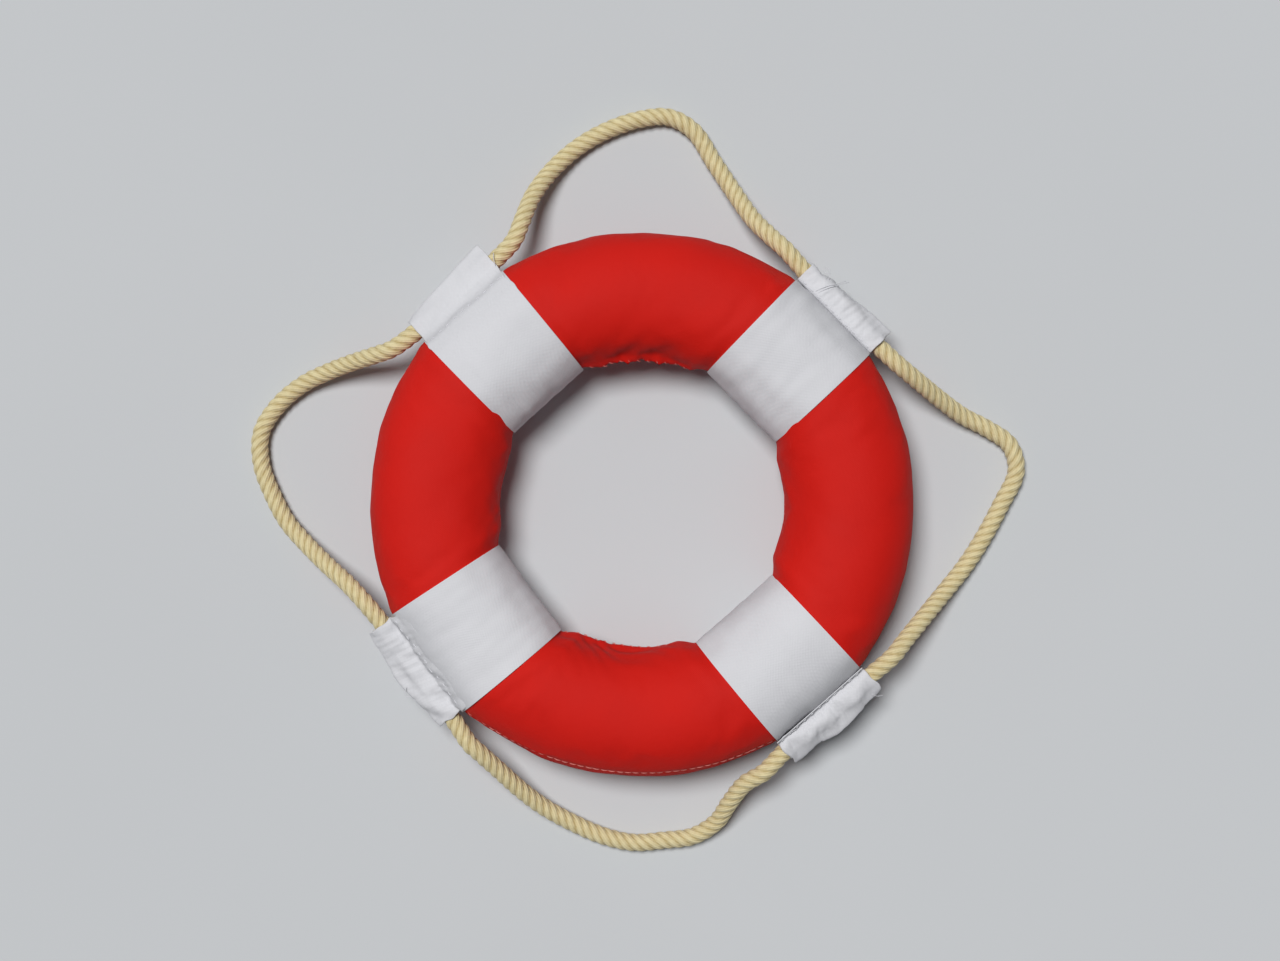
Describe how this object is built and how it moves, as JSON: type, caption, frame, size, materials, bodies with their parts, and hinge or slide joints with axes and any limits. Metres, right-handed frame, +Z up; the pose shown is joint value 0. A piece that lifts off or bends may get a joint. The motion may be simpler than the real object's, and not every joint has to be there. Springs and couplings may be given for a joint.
{
  "type": "ring lifebuoy",
  "caption": "Cloth-covered foam ring with white cloth bands and a grab rope that lies in free loops between cloth sleeves on the rim.",
  "frame": {"origin": "centre of the ring, on the floor it lies on", "axes": "+Z up through the hole, +Y towards the top loop, +X towards the right loop"},
  "size_m": [0.3673, 0.3533, 0.054],
  "materials": {
    "foam": "fine closed-cell foam",
    "red_cloth": "close plain weave, slightly shiny",
    "white_cloth": "close plain weave, matt",
    "red_thread": "sewing thread",
    "white_thread": "sewing thread",
    "cotton_rope": "twisted natural cotton, matt",
    "tape": "cloth tape"
  },
  "bodies": {
    "ring": {"foam_core": "foam", "cover_front": "red_cloth", "cover_back": "red_cloth", "outer_seam_thread": "red_thread", "inner_seam_thread": "red_thread", "band_upper_left": "white_cloth", "band_upper_right": "white_cloth", "band_lower_right": "white_cloth", "band_lower_left": "white_cloth", "sleeve_upper_left": "white_cloth", "sleeve_upper_right": "white_cloth", "sleeve_lower_right": "white_cloth", "sleeve_lower_left": "white_cloth", "stitches_upper_left": "white_thread", "stitches_upper_right": "white_thread", "stitches_lower_right": "white_thread", "stitches_lower_left": "white_thread", "rope_in_upper_left": "cotton_rope", "rope_in_upper_right": "cotton_rope", "rope_in_lower_right": "cotton_rope", "rope_in_lower_left": "cotton_rope", "rope_end_tape": "tape"},
    "top_loop": {"loop_top": "cotton_rope"},
    "right_loop": {"loop_right": "cotton_rope"},
    "bottom_loop": {"loop_bottom": "cotton_rope"},
    "left_loop": {"loop_left": "cotton_rope"}
  },
  "joints": [
    {"name": "top_loop_lift", "type": "hinge", "parent": "ring", "child": "top_loop", "pos_m": [-0.06391, 0.11806, 0.027], "axis": [0.9995, -0.0305, 0], "range_deg": [0, 90]},
    {"name": "right_loop_lift", "type": "hinge", "parent": "ring", "child": "right_loop", "pos_m": [0.11516, 0.069, 0.027], "axis": [-0.0223, -0.9998, 0], "range_deg": [0, 90]},
    {"name": "bottom_loop_lift", "type": "hinge", "parent": "ring", "child": "bottom_loop", "pos_m": [0.06101, -0.12027, 0.027], "axis": [-0.9948, 0.102, 0], "range_deg": [0, 90]},
    {"name": "left_loop_lift", "type": "hinge", "parent": "ring", "child": "left_loop", "pos_m": [-0.12542, -0.04989, 0.027], "axis": [0.116, 0.9932, 0], "range_deg": [0, 90]}
  ]
}
